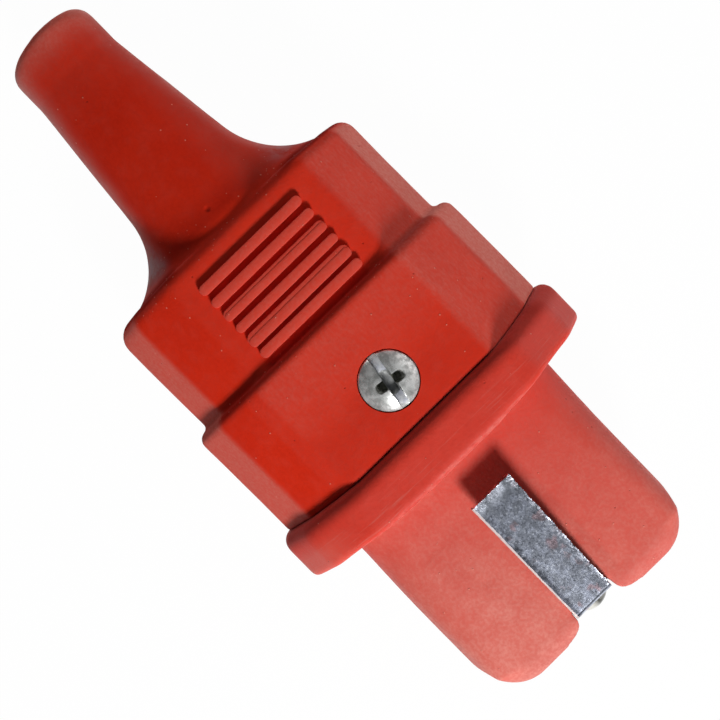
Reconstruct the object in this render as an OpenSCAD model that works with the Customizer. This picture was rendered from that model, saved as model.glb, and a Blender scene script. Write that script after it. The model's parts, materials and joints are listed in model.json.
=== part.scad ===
// High-temperature appliance connector in silicone rubber.
// A hollow cover with a cord boot is pushed over the spigot of a moulded insert and held by
// one screw. The insert carries two contact sleeves and a bent earth clip.
// X runs along the plug towards its nose, Z is up, and the origin is the middle of its box.

/* [Boot] */
// Length of the cord boot behind the grip block
boot_len = 33.8; // [24:0.1:50]
// Diameter of the boot's end
boot_tip_d = 13.3; // [11:0.1:15]
// Length of the straight collar at the boot's end
boot_collar_len = 6.5; // [4:0.5:12]
// Rounding of the boot's end
boot_tip_round = 2.2; // [1:0.1:2.4]
// Diameter of the boot where its flare begins
boot_root_d = 17.4; // [15:0.1:19]
// Length of the flare at the boot's root
flare_len = 9.3; // [6:0.1:10]
// How far the flare grows out at each side
flare_out = 6.9; // [4:0.1:8]
// Rise of the flare at the top and bottom
flare_rise = 0.4; // [0.2:0.1:1.2]
// Diameter of the bore that the cord passes through
cord_bore_d = 8.2; // [6:0.1:8.4]

/* [Grip block] */
// Length of the grip block
grip_len = 17; // [15.5:0.1:24]
// Step from the front block down to the grip block
grip_step = 1.9; // [1:0.1:2]
// Number of grip ribs on each face
rib_count = 6; // [2:1:7]
// Spacing of the ribs
rib_pitch = 2.14; // [1.8:0.02:2.3]
// Width of a rib
rib_w = 1.4; // [0.8:0.05:1.6]
// Length of a rib across the plug
rib_len = 17; // [10:0.5:19]
// Height of a rib above the face
rib_h = 0.85; // [0.4:0.05:1.2]
// Rounding of the grip block's edges
grip_round = 1.9; // [0.8:0.1:2.3]
// Distance from the front block to the nearest rib
rib_setback = 1.15; // [0.3:0.05:1.5]

/* [Front block] */
// Length of the front block
front_len = 17.5; // [16:0.1:24]
// Width of the front block at its parting line
front_w = 45.1; // [43:0.1:50]
// Height of the front block
front_h = 26.6; // [25:0.2:30]
// How far the steep sides lean in
side_draft = 3.5; // [2:0.1:4.5]
// Height of the upright band along the parting line
parting_band = 3; // [1:0.5:5]
// Width of each sloped shoulder
shoulder_run = 7.45; // [6:0.05:9]
// Fall of each sloped shoulder
shoulder_drop = 5.75; // [4:0.05:7]
// Rounding of the front block's edges
block_round = 1.4; // [0.6:0.1:1.6]

/* [Flange] */
// Thickness of the flange
flange_t = 7; // [4:0.1:9]
// How far the flange stands out at the sides
flange_side = 1.8; // [1:0.05:3]
// How far the flange stands out at the top and bottom
flange_top = 1.3; // [0.5:0.05:2.5]
// Rounding of the flange's outline
flange_corner = 5; // [2:0.5:6]
// Rounding of the flange's rim
rim_round = 1.5; // [0.5:0.1:2]

/* [Nose] */
// Length of the nose
nose_len = 28.3; // [27:0.1:36]
// Width of the nose
nose_w = 34; // [32:0.1:38]
// Height of the nose
nose_h = 16; // [15:0.5:20]
// Rounding of the nose's outer edges
nose_round = 6.3; // [4:0.1:7]
// Rounding of the nose's end, seen from the side
nose_end_round = 2.6; // [1:0.1:4]
// Width of the notch between the two lobes
notch_w = 6.6; // [6.6:0.1:8]
// Depth of the notch
notch_depth = 3.5; // [3.4:0.1:7]
// Rounding of the lobes' corners beside the notch
lobe_round = 3.1; // [1:0.1:3.6]

/* [Spigot] */
// Length of the spigot inside the cover
spigot_len = 15; // [14:0.5:15.5]
// Width of the spigot
spigot_w = 36; // [34:0.5:36.5]
// Height of the spigot
spigot_h = 18; // [17:0.5:18.5]
// Gap between the spigot and the cover
spigot_gap = 0.15; // [0.1:0.05:0.3]
// Height of the wiring chamber behind the spigot
chamber_h = 16; // [15.5:0.5:17]
// Width of the wiring chamber
chamber_w = 32; // [30.5:0.5:33]
// Thickness of the wall between the chamber and the boot
chamber_wall = 3; // [2:0.5:4]

/* [Contacts] */
// Spacing of the two contacts
contact_pitch = 20; // [20:0.1:21]
// Diameter of the pins that the contacts take
pin_d = 6; // [5:0.1:6.4]
// Clearance on a pin's radius
pin_gap = 0.03; // [0.01:0.01:0.05]
// Outside diameter of a contact sleeve
sleeve_d = 8.4; // [8.2:0.1:8.8]
// Gap round a sleeve in the insert
sleeve_gap = 0.1; // [0.05:0.05:0.2]
// Distance from the nose's end to the sleeves
sleeve_setback = 1.3; // [1:0.1:3]
// Depth of a sleeve's bore
sleeve_bore_len = 24; // [18:0.5:28]
// Diameter of the pin entry in the nose
entry_d = 7; // [6.6:0.1:7.6]
// Diameter of a sleeve's collar
collar_d = 9.6; // [9.2:0.1:10]
// Thickness of a sleeve's collar
collar_t = 2; // [1:0.1:3]
// Width of the slit in a sleeve
slit_w = 0.8; // [0.4:0.1:1]
// Length of the slit in a sleeve
slit_len = 14; // [10:0.5:16]
// Width of a spring ring
ring_w = 3; // [2:0.1:5]
// Thickness of a spring ring
ring_t = 0.4; // [0.2:0.05:0.5]
// Gap between a spring ring and its groove
ring_gap = 0.03; // [0.01:0.01:0.1]
// Distance from a sleeve's end to its spring ring
ring_setback = 2.5; // [1:0.1:5]
// Opening of a split spring ring
ring_split = 1; // [0.5:0.1:2]

/* [Terminals] */
// Diameter of a contact's terminal end
terminal_d = 9; // [8.4:0.1:9.2]
// Length of a contact's terminal end
terminal_len = 11; // [8:0.5:12]
// Diameter of the wire holes
wire_d = 4.2; // [3:0.1:4.4]
// Depth of the wire holes
wire_depth = 9; // [7:0.5:10]
// Diameter of the terminal screws
wire_screw_d = 3.8; // [3:0.1:4]
// Radial gap round a screw in its thread
thread_gap = 0.05; // [0.03:0.01:0.1]
// How far a terminal screw stands out of its terminal
wire_screw_proud = 0.4; // [0.2:0.1:0.6]

/* [Earth] */
// Width of the earth strip
strip_w = 6.25; // [5:0.05:6.4]
// Thickness of the earth strip
strip_t = 0.8; // [0.5:0.1:1.2]
// Length of a leg of the earth clip
strip_len = 20.3; // [14:0.1:22]
// How far the strip's free end is sprung out
strip_lift = 2.8; // [1:0.1:3.2]
// Gap between the strip's bend and the nose
strip_gap = 0.05; // [0.02:0.01:0.2]
// Diameter of the earth bolt
bolt_d = 3; // [2.5:0.1:3.5]
// Diameter of the earth bolt's head
bolt_head_d = 5.5; // [5:0.1:5.8]
// Height of the rim of the earth bolt's head
bolt_rim_h = 0.4; // [0.3:0.1:0.8]
// Height of the dome of the earth bolt's head
bolt_dome_h = 1.7; // [1.2:0.1:2.2]
// Width of the slot in the earth bolt's head
bolt_slot_w = 0.9; // [0.6:0.1:1.1]
// Depth of the slot in the earth bolt's head
bolt_slot_depth = 0.9; // [0.5:0.1:1.1]
// Radial gap round the earth bolt
bolt_gap = 0.2; // [0.1:0.05:0.4]
// Thickness of the spring washer
washer_t = 0.6; // [0.5:0.1:1]
// Width of the earth block
earth_w = 7.6; // [7:0.1:8]
// Height of the earth block above the plug's axis
earth_top = 6.6; // [6:0.1:6.8]
// Depth of the earth block below the plug's axis
earth_low = 4.4; // [3.5:0.1:6]
// Length of the earth block in front of the spigot's rear face
earth_seat = 13.5; // [12:0.5:13.5]
// Length of the earth block behind the spigot
earth_tail = 7.5; // [6:0.5:9]
// Gap round the earth block in its pocket
earth_gap = 0.15; // [0.1:0.05:0.3]

/* [Cover screw] */
// Diameter of the cover screw
screw_d = 4; // [3:0.1:4.5]
// Diameter of its head
screw_head_d = 7.9; // [7:0.1:8.5]
// Height of its rim
screw_rim_h = 1.3; // [0.6:0.1:1.6]
// Height of its dome above the rim
screw_dome_h = 1.2; // [0.8:0.1:1.6]
// Distance from the flange to the screw's axis
screw_setback = 6.3; // [5.5:0.1:7]
// Radial gap round the screw's head
screw_head_gap = 0.15; // [0.15:0.05:0.5]
// Depth of the recess for the head
recess_depth = 1.6; // [1:0.1:2]
// Radial gap round the screw's shank
screw_gap = 0.2; // [0.1:0.05:0.4]
// Gap between the screw's tip and the earth bolt
tip_gap = 0.6; // [0.3:0.1:1]
// Width of the slot in the head
slot_w = 1.2; // [0.8:0.1:1.4]
// Depth of the slot in the head
slot_depth = 1.5; // [0.6:0.1:1.5]
// Turn of the slot from the plug's axis
slot_turn = -8; // [-90:1:90]
// Size of the cross recess
cross_size = 4.7; // [3:0.1:5]

/* [Hidden] */
$fn = 48;
// Facets of the rounded corners that the blocks, the flange and the nose are stretched over
round_fn = 32;
nose_fn = 40;
// Facets round the boot, steps along its flare and the turn from ring to ring at its end
boot_fn = 40;
flare_steps = 8;
tip_turn = 18;
// Share of a quarter ellipse that the flare runs through
flare_arc = 0.96;
// Overlap of forms that only touch
eps = 0.01;
// Length by which joined forms run into each other
bite = 1;

// Stations along the plug, from the boot's end to the nose's end
total_len = boot_len + grip_len + front_len + flange_t + nose_len;
x_tip = -total_len / 2;
x_grip = x_tip + boot_len;
x_front = x_grip + grip_len;
x_flange = x_front + front_len;
x_mate = x_flange + flange_t;
x_nose = x_mate + nose_len;
x_web = x_nose - notch_depth;
x_spigot = x_flange - spigot_len;
x_chamber = x_grip + chamber_wall;
x_flare = x_grip - flare_len;
x_screw = x_flange - screw_setback;
x_sleeve = x_nose - sleeve_setback;
x_clip = x_web + strip_t;
x_terminal = x_spigot - terminal_len;
x_earth_front = x_spigot + earth_seat;
x_earth_rear = x_spigot - earth_tail;
x_earth_screw = (x_spigot + x_earth_rear) / 2;

sleeve_bore_d = pin_d + 2 * pin_gap;
seat_z = front_h / 2 - recess_depth;
grip_top = front_h / 2 - grip_step;

// Section of a block: flat top, sloped shoulders, steep sides and a band at the parting line
function lozenge(w, h) =
    let (quarter = [
        [w / 2, parting_band / 2],
        [w / 2 - side_draft, h / 2 - shoulder_drop],
        [w / 2 - side_draft - shoulder_run, h / 2]],
        upper = concat(quarter, [for (i = [2 : -1 : 0]) [-quarter[i][0], quarter[i][1]]]))
    concat(upper, [for (i = [5 : -1 : 0]) flip(upper[i])]);
function flip(p) = [p[0], -p[1]];
function outward(a, b) = let (d = (b - a) / norm(b - a)) [d[1], -d[0]];
function inset(points, r) = [
    for (i = [0 : len(points) - 1])
    let (n = len(points), b = points[i],
         n1 = outward(points[(i + n - 1) % n], b),
         n2 = outward(b, points[(i + 1) % n]))
    b - r * (n1 + n2) / (1 + n1 * n2)];

front_section = lozenge(front_w, front_h);
grip_section = inset(front_section, grip_step);
flange_section = lozenge(front_w + 2 * flange_side, front_h + 2 * flange_top);

module along_x(x, y = 0, z = 0) {
    translate([x, y, z]) rotate([0, 90, 0]) children();
}

// A block with edges of radius r over a section, from x0 to x1
module soft_block(section, x0, x1, r) {
    hull()
        for (p = inset(section, r), x = [x0 + r, x1 - r])
            translate([x, p[0], p[1]]) sphere(r = r, $fn = round_fn);
}

// A bar along X with a flat top and bottom and half-round sides
module stadium_bar(x0, x1, w, h) {
    translate([x0, -(w - h) / 2, -h / 2]) cube([x1 - x0, w - h, h]);
    for (s = [-1, 1])
        along_x(x0, s * (w - h) / 2) cylinder(h = x1 - x0, d = h);
}

// Half width of the boot without its flare
function boot_taper(x) =
    let (x1 = x_tip + boot_collar_len,
         t = max(0, (x - x1) / (x_flare - x1)))
    boot_tip_d / 2 + t * (boot_root_d - boot_tip_d) / 2;
function ellipse_rise(c) = 1 - sqrt(1 - c * c);
function flare(t) = flare_out * ellipse_rise(flare_arc * t / flare_len) / ellipse_rise(flare_arc);
function boot_ring(x, half_w, half_h) = [
    for (i = [0 : boot_fn - 1])
    let (a = 360 * i / boot_fn)
    [x, half_w * cos(a), half_h * sin(a)]];

// The boot is a loft of rings: a rounded end, a collar, a taper and a wide flare
module boot() {
    flare_last = flare(flare_len);
    tip_rings = [
        for (a = [0 : tip_turn : 90])
        let (r = boot_tip_d / 2 - boot_tip_round * (1 - sin(a)))
        boot_ring(x_tip + boot_tip_round * (1 - cos(a)), r, r)];
    collar_ring = boot_ring(x_tip + boot_collar_len, boot_tip_d / 2, boot_tip_d / 2);
    flare_rings = [
        for (i = [0 : flare_steps])
        let (t = flare_len * i / flare_steps, x = x_flare + t, r = boot_taper(x))
        boot_ring(x, r + flare(t), r + flare_rise * flare(t) / flare_last)];
    root_r = boot_taper(x_grip);
    root_ring = boot_ring(x_grip + bite, root_r + flare_last, root_r + flare_rise);
    rings = concat(tip_rings, [collar_ring], flare_rings, [root_ring]);
    count = len(rings);
    polyhedron(
        points = [for (ring = rings) each ring],
        faces = concat(
            [[for (i = [0 : boot_fn - 1]) i]],
            [for (k = [0 : count - 2], i = [0 : boot_fn - 1], half = [0, 1])
                let (j = (i + 1) % boot_fn, a = k * boot_fn, b = a + boot_fn)
                half == 0 ? [a + i, b + i, b + j] : [a + i, b + j, a + j]],
            [[for (i = [boot_fn - 1 : -1 : 0]) (count - 1) * boot_fn + i]]));
}

// A flat-topped rib with round ends, across the plug
module rib(x) {
    straight = rib_len - rib_w;
    rib_z = grip_top - bite;
    translate([x - rib_w / 2, -straight / 2, rib_z]) cube([rib_w, straight, bite + rib_h]);
    for (s = [-1, 1])
        translate([x, s * straight / 2, rib_z]) cylinder(h = bite + rib_h, d = rib_w);
}

module grip_ribs() {
    first = x_front - rib_setback - rib_w / 2;
    for (face = [0, 180], i = [0 : rib_count - 1])
        rotate([face, 0, 0]) rib(first - i * rib_pitch);
}

// Silicone cover, moulded in one piece with its boot and ribs
module rear_cover() {
    color([0.72, 0.13, 0.08])
    difference() {
        union() {
            boot();
            soft_block(grip_section, x_grip, x_front + grip_round + bite, grip_round);
            intersection() {
                soft_block(front_section, x_front, x_flange + 2 * block_round, block_round);
                translate([x_front - bite, -front_w, -front_h])
                    cube([front_len + bite, 2 * front_w, 2 * front_h]);
            }
            grip_ribs();
        }
        stadium_bar(x_spigot - spigot_gap, x_flange + bite,
            spigot_w + 2 * spigot_gap, spigot_h + 2 * spigot_gap);
        stadium_bar(x_chamber, x_spigot, chamber_w, chamber_h);
        along_x(x_tip - bite) cylinder(h = x_chamber - x_tip + 2 * bite, d = cord_bore_d);
        translate([x_screw, 0, 0]) cylinder(h = front_h, d = screw_d + 2 * screw_gap);
        translate([x_screw, 0, seat_z])
            cylinder(h = front_h, d = screw_head_d + 2 * screw_head_gap);
    }
}

// Plan of the notch, with its mouth rounded out into the lobes
module notch_plan() {
    translate([x_web, -notch_w / 2]) square([notch_depth + bite, notch_w]);
    difference() {
        translate([x_nose - lobe_round, -notch_w / 2 - lobe_round])
            square([lobe_round + bite, notch_w + 2 * lobe_round]);
        for (s = [-1, 1])
            translate([x_nose - lobe_round, s * (notch_w / 2 + lobe_round)])
                circle(r = lobe_round);
    }
}

// Nose with large round edges, stretched from the flange to its end
module nose_body() {
    y = nose_w / 2 - nose_round;
    z = nose_h / 2 - nose_round;
    end_y = y - nose_end_round / 4;
    hull()
        for (sy = [-y, y], sz = [-z, z]) {
            along_x(x_nose - nose_round, sy, sz) sphere(r = nose_round, $fn = nose_fn);
            along_x(x_mate - bite, sy, sz) cylinder(h = bite, r = nose_round, $fn = nose_fn);
            translate([x_nose - nose_end_round, sign(sy) * end_y, sign(sz) * (nose_h / 2 - nose_end_round)])
                sphere(r = nose_end_round, $fn = nose_fn);
        }
}

module flange() {
    ring_r = flange_corner - rim_round;
    hull()
        for (p = inset(flange_section, flange_corner),
             x = [x_flange + rim_round, x_mate - rim_round])
            along_x(x, p[0], p[1])
                rotate_extrude($fn = round_fn)
                    translate([ring_r, 0]) circle(r = rim_round, $fn = round_fn / 2);
}

// Silicone insert, moulded in one piece: flange, nose and spigot
module nose_insert() {
    color([0.8, 0.28, 0.22])
    difference() {
        union() {
            difference() {
                nose_body();
                translate([0, 0, -nose_h]) linear_extrude(2 * nose_h) notch_plan();
            }
            flange();
            stadium_bar(x_spigot, x_flange + bite, spigot_w, spigot_h);
        }
        for (s = [-1, 1]) {
            y = s * contact_pitch / 2;
            along_x(x_spigot - bite, y)
                cylinder(h = x_sleeve - x_spigot + bite, d = sleeve_d + 2 * sleeve_gap);
            along_x(x_spigot - bite, y)
                cylinder(h = collar_t + bite, d = collar_d + 2 * sleeve_gap);
            along_x(x_sleeve - bite, y) cylinder(h = sleeve_setback + 2 * bite, d = entry_d);
        }
        along_x(x_earth_front - bite)
            cylinder(h = x_web - x_earth_front + 2 * bite, d = bolt_d + 2 * bolt_gap);
        translate([x_spigot - bite, -earth_w / 2 - earth_gap, -earth_low - earth_gap])
            cube([earth_seat + bite, earth_w + 2 * earth_gap,
                earth_low + earth_top + 2 * earth_gap]);
        translate([x_screw, 0, 0]) cylinder(h = spigot_h, d = screw_d + 2 * screw_gap);
    }
}

// Slit brass sleeve with a collar and a drilled terminal end
module contact(s) {
    groove_d = sleeve_d - 2 * ring_t - 2 * ring_gap;
    ring_x = x_sleeve - ring_setback - ring_w;
    x_wire_screw = x_terminal + terminal_len / 2;
    color([0.8, 0.64, 0.32])
    translate([0, s * contact_pitch / 2, 0])
    difference() {
        union() {
            along_x(x_spigot) cylinder(h = x_sleeve - x_spigot, d = sleeve_d);
            along_x(x_spigot) cylinder(h = collar_t, d = collar_d);
            along_x(x_terminal) cylinder(h = terminal_len, d = terminal_d);
        }
        along_x(x_sleeve - sleeve_bore_len)
            cylinder(h = sleeve_bore_len + bite, d = sleeve_bore_d);
        translate([x_sleeve - slit_len, -slit_w / 2, -sleeve_d])
            cube([slit_len + bite, slit_w, 2 * sleeve_d]);
        along_x(ring_x)
            difference() {
                cylinder(h = ring_w + 2 * ring_gap, d = sleeve_d + bite);
                translate([0, 0, -bite]) cylinder(h = ring_w + 2 * bite, d = groove_d);
            }
        along_x(x_terminal - bite) cylinder(h = wire_depth + bite, d = wire_d);
        translate([x_wire_screw, 0, 0])
            cylinder(h = terminal_d, d = wire_screw_d + 2 * thread_gap);
    }
}

// Split spring ring in the groove of a sleeve
module contact_spring(s) {
    ring_x = x_sleeve - ring_setback - ring_w + ring_gap;
    inner_d = sleeve_d - 2 * ring_t;
    color([0.6, 0.62, 0.66])
    translate([0, s * contact_pitch / 2, 0])
    difference() {
        along_x(ring_x) cylinder(h = ring_w, d = sleeve_d);
        along_x(ring_x - bite) cylinder(h = ring_w + 2 * bite, d = inner_d);
        translate([ring_x - bite, 0, -ring_split / 2])
            cube([ring_w + 2 * bite, sleeve_d, ring_split]);
    }
}

// Slotted grub screw that reaches from its terminal's top down to the wire hole
module grub_screw(top, bottom) {
    difference() {
        translate([0, 0, bottom]) cylinder(h = top - bottom, d = wire_screw_d);
        translate([-wire_screw_d, -slot_w / 2, top - slot_depth])
            cube([2 * wire_screw_d, slot_w, slot_depth + bite]);
    }
}

module wire_screw(s) {
    color([0.66, 0.66, 0.68])
    translate([x_terminal + terminal_len / 2, s * contact_pitch / 2, 0])
        grub_screw(terminal_d / 2 + wire_screw_proud, wire_d / 2);
}

// Brass earth terminal in the spigot, tapped for the bolt, the cover screw and the wire screw
module earth_block() {
    color([0.78, 0.62, 0.3])
    difference() {
        translate([x_earth_rear, -earth_w / 2, -earth_low])
            cube([x_earth_front - x_earth_rear, earth_w, earth_low + earth_top]);
        along_x(x_spigot) cylinder(h = earth_seat + bite, d = bolt_d + 2 * thread_gap);
        along_x(x_earth_rear - bite) cylinder(h = earth_tail + bite, d = wire_d);
        translate([x_screw, 0, 0]) cylinder(h = 2 * earth_top, d = screw_d + 2 * thread_gap);
        translate([x_earth_screw, 0, 0])
            cylinder(h = 2 * earth_top, d = wire_screw_d + 2 * thread_gap);
    }
}

module earth_wire_screw() {
    color([0.66, 0.66, 0.68])
    translate([x_earth_screw, 0, 0]) grub_screw(earth_top + wire_screw_proud, wire_d / 2);
}

// Side view of half the clip, from the middle of its web to its sprung free end
module clip_leg() {
    bend_z = nose_h / 2 + strip_gap;
    lean = asin(strip_lift / strip_len);
    translate([x_web, 0]) square([strip_t, bend_z]);
    translate([x_web, bend_z])
        intersection() {
            circle(r = strip_t);
            translate([-strip_t, 0]) square([2 * strip_t, strip_t]);
        }
    translate([x_web, bend_z]) rotate(180 - lean) translate([0, -strip_t])
        square([strip_len - strip_t, strip_t]);
}

// Earth strip, bent to a U round the web between the lobes
module earth_clip() {
    color([0.62, 0.64, 0.68])
    difference() {
        translate([0, strip_w / 2, 0]) rotate([90, 0, 0])
            linear_extrude(strip_w) {
                clip_leg();
                mirror([0, 1]) clip_leg();
            }
        along_x(x_web - bite) cylinder(h = strip_t + 2 * bite, d = bolt_d + 2 * bolt_gap);
    }
}

// Flat spring washer with its split
module earth_washer() {
    color([0.55, 0.56, 0.6])
    difference() {
        along_x(x_clip) cylinder(h = washer_t, d = bolt_head_d);
        along_x(x_clip - bite) cylinder(h = washer_t + 2 * bite, d = bolt_d + 2 * bolt_gap);
        translate([x_clip - bite, -ring_split / 2, -bolt_head_d])
            cube([washer_t + 2 * bite, ring_split, bolt_head_d]);
    }
}

// Slotted round-head screw from the nose's end to the earth block
module earth_bolt() {
    head_x = x_clip + washer_t;
    color([0.7, 0.7, 0.72]) {
        along_x(x_spigot + bite) cylinder(h = head_x - x_spigot - bite + eps, d = bolt_d);
        difference() {
            along_x(head_x) domed_head(bolt_head_d / 2, bolt_rim_h, bolt_dome_h);
            translate([head_x + bolt_rim_h + bolt_dome_h - bolt_slot_depth, -bolt_head_d, -bolt_slot_w / 2])
                cube([bolt_slot_depth + bite, 2 * bolt_head_d, bolt_slot_w]);
        }
    }
}

// Screw head with a straight rim and a domed top, standing on its seat
module domed_head(r, rim_h, dome_h) {
    dome_r = (r * r + dome_h * dome_h) / (2 * dome_h);
    intersection() {
        cylinder(h = rim_h + dome_h, r = r);
        translate([0, 0, rim_h + dome_h - dome_r]) sphere(r = dome_r);
    }
}

// Pan-head screw with a slot and a cross recess
module cover_screw() {
    top = seat_z + screw_rim_h + screw_dome_h;
    tip = bolt_d / 2 + tip_gap;
    color([0.7, 0.7, 0.7])
    translate([x_screw, 0, 0])
    difference() {
        union() {
            translate([0, 0, tip]) cylinder(h = seat_z - tip + eps, d = screw_d);
            translate([0, 0, seat_z])
                domed_head(screw_head_d / 2, screw_rim_h, screw_dome_h);
        }
        rotate(slot_turn) {
            translate([-screw_head_d, -slot_w / 2, top - slot_depth])
                cube([2 * screw_head_d, slot_w, slot_depth + bite]);
            translate([-slot_w / 2, -cross_size / 2, top - slot_depth])
                cube([slot_w, cross_size, slot_depth + bite]);
        }
    }
}

rear_cover();
nose_insert();
earth_clip();
earth_bolt();
earth_washer();
earth_block();
earth_wire_screw();
contact(1);  // contact_left
contact(-1);  // contact_right
contact_spring(1);  // contact_spring_left
contact_spring(-1);  // contact_spring_right
wire_screw(1);  // wire_screw_left
wire_screw(-1);  // wire_screw_right
cover_screw();
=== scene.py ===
import json
import math
import random

import bmesh
import bpy
from mathutils import Matrix, Vector


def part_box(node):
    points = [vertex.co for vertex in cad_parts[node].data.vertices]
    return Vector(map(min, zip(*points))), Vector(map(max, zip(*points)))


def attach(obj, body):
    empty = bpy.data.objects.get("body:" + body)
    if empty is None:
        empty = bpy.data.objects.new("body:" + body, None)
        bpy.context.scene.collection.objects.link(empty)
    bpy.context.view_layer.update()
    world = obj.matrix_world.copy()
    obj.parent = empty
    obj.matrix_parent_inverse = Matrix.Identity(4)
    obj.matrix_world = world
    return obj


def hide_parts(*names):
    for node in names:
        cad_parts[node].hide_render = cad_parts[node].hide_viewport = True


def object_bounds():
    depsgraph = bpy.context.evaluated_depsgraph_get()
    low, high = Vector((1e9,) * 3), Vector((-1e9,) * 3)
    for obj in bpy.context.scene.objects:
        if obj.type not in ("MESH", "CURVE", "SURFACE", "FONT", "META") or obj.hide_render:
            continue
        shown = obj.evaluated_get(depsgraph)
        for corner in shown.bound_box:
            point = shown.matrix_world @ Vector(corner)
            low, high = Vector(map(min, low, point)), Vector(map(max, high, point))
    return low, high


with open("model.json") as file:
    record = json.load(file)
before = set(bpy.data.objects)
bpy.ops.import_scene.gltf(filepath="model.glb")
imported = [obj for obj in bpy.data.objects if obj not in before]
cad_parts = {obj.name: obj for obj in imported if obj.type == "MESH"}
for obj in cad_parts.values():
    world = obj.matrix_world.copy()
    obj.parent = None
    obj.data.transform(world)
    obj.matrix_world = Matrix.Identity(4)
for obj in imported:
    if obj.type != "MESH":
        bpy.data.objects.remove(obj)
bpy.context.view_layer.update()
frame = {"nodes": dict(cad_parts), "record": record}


# Contact sleeves
# Two turned brass tubes, slit so that they grip a round pin, with a collar and a drilled terminal
# end. They are pushed into the insert from behind, and only their mouths show in the nose.
mm = 0.001


class Wire:
    """A socket of a material: sums and products on it add Math nodes, and add() any other node."""

    def __init__(self, tree, socket=None):
        self.tree = tree
        self.socket = socket

    def add(self, kind, settings=None, inputs=None, output=0):
        """Adds a node with its settings, then its sockets, and gives one of its outputs."""
        made = self.tree.nodes.new(kind)
        for name, value in (settings or {}).items():
            setattr(made, name, value)
        for key, value in (inputs or {}).items():
            self.join(made.inputs[key], value)
        return Wire(self.tree, made.outputs[output])

    def join(self, target, value):
        """Links a wire to a socket, or sets the socket to a plain value."""
        if isinstance(value, Wire):
            self.tree.links.new(value.socket, target)
        else:
            target.default_value = value

    def math(self, operation, first, second=0.0):
        return self.add("ShaderNodeMath", {"operation": operation}, {0: first, 1: second})

    def __add__(self, other):
        return self.math("ADD", self, other)

    def __sub__(self, other):
        return self.math("SUBTRACT", self, other)

    def __rsub__(self, other):
        return self.math("SUBTRACT", other, self)

    def __mul__(self, other):
        return self.math("MULTIPLY", self, other)

    __radd__ = __add__
    __rmul__ = __mul__

    def __abs__(self):
        return self.math("ABSOLUTE", self)

    def fade(self, start, end):
        """A smooth step from 0 where this value is start to 1 where it is end."""
        return self.add("ShaderNodeMapRange", {"interpolation_type": "SMOOTHSTEP"},
                        {"Value": self, "From Min": start, "From Max": end})

    def band(self, start, full, ebb, end):
        """0 up to start, 1 from full to ebb and 0 again past end."""
        return self.fade(start, full) * self.fade(end, ebb)

    def tint(self, base, over):
        """The colour base, covered with the colour over as far as this mask says."""
        return self.add("ShaderNodeMix", {"data_type": "RGBA"}, {0: self, 6: base, 7: over}, 2)

    def axis(self, letter):
        return self.add("ShaderNodeSeparateXYZ", None, {0: self}, letter)

    def stretch(self, x, y, z):
        """These coordinates, drawn out by a factor along each axis."""
        return self.add("ShaderNodeMapping", None,
                        {"Vector": self, "Scale": (1 / x, 1 / y, 1 / z)})

    def noise(self, size, detail=2.0, rough=0.5):
        """Cloudy noise from 0 to 1 with forms about this size."""
        return self.add("ShaderNodeTexNoise", None,
                        {"Vector": self, "Scale": 1 / size, "Detail": detail, "Roughness": rough})

    def dots(self, spacing, radius, share):
        """Round spots of that radius, of which only a share of the possible places has one."""
        cells = {"Vector": self, "Scale": 1 / spacing}
        near = self.add("ShaderNodeTexVoronoi", None, cells, "Distance")
        chance = self.add("ShaderNodeTexVoronoi", None, cells, "Color")
        chance = self.add("ShaderNodeSeparateColor", None, {0: chance})
        spot = near.fade(radius / spacing, 0.5 * radius / spacing)
        return spot * chance.math("LESS_THAN", chance, share)

    def near(self, point, radius):
        """1 at a point, falling to 0 at a radius from it."""
        away = self.add("ShaderNodeVectorMath", {"operation": "DISTANCE"}, {0: self, 1: point}, 1)
        return away.fade(radius, 0)


def tone(red, green, blue):
    """A colour from the values that a screen shows, 0 to 255."""
    shown = [c / 255 for c in (red, green, blue)]
    return (*[((c + 0.055) / 1.055) ** 2.4 if c > 0.04 else c / 12.92 for c in shown], 1)


def finish(name, **constants):
    """A new material with the constant sockets of its shader set, and its Object coordinates."""
    material = bpy.data.materials.new(name)
    material.use_nodes = True
    shader = material.node_tree.nodes["Principled BSDF"]
    for socket, value in constants.items():
        shader.inputs[socket.replace("_", " ")].default_value = value
    place = Wire(material.node_tree).add("ShaderNodeTexCoord", output="Object")
    return material, shader, place


def feed(shader, place, colour, roughness, height, depth):
    """Joins what changes over a surface to its shader: depth is how deep the relief is, in metres."""
    place.join(shader.inputs["Base Color"], colour)
    place.join(shader.inputs["Roughness"], roughness)
    relief = place.add("ShaderNodeBump", None, {"Height": height, "Distance": depth})
    place.join(shader.inputs["Normal"], relief)


def dress(material, *names):
    """Gives CAD nodes a finish."""
    for name in names:
        for slot in frame["nodes"][name].material_slots:
            slot.material = material


def brass():
    """Turned brass: lathe rings across the axis, a thin brown tarnish and a soft shine."""
    material, shader, place = finish("turned_brass", Metallic=1.0)
    rings = place.stretch(1, 60, 60).noise(0.25 * mm, 3)
    tarnish = place.noise(2.5 * mm, 4).fade(0.45, 0.75)
    colour = (rings * 0.5).tint(tone(222, 184, 112), tone(196, 156, 88))
    colour = (tarnish * 0.5).tint(colour, tone(140, 104, 62))
    feed(shader, place, colour, 0.24 + rings * 0.12 + tarnish * 0.2, rings, 0.01 * mm)
    return material


brass_finish = brass()
dress(brass_finish, "contact_left", "contact_right")


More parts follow.
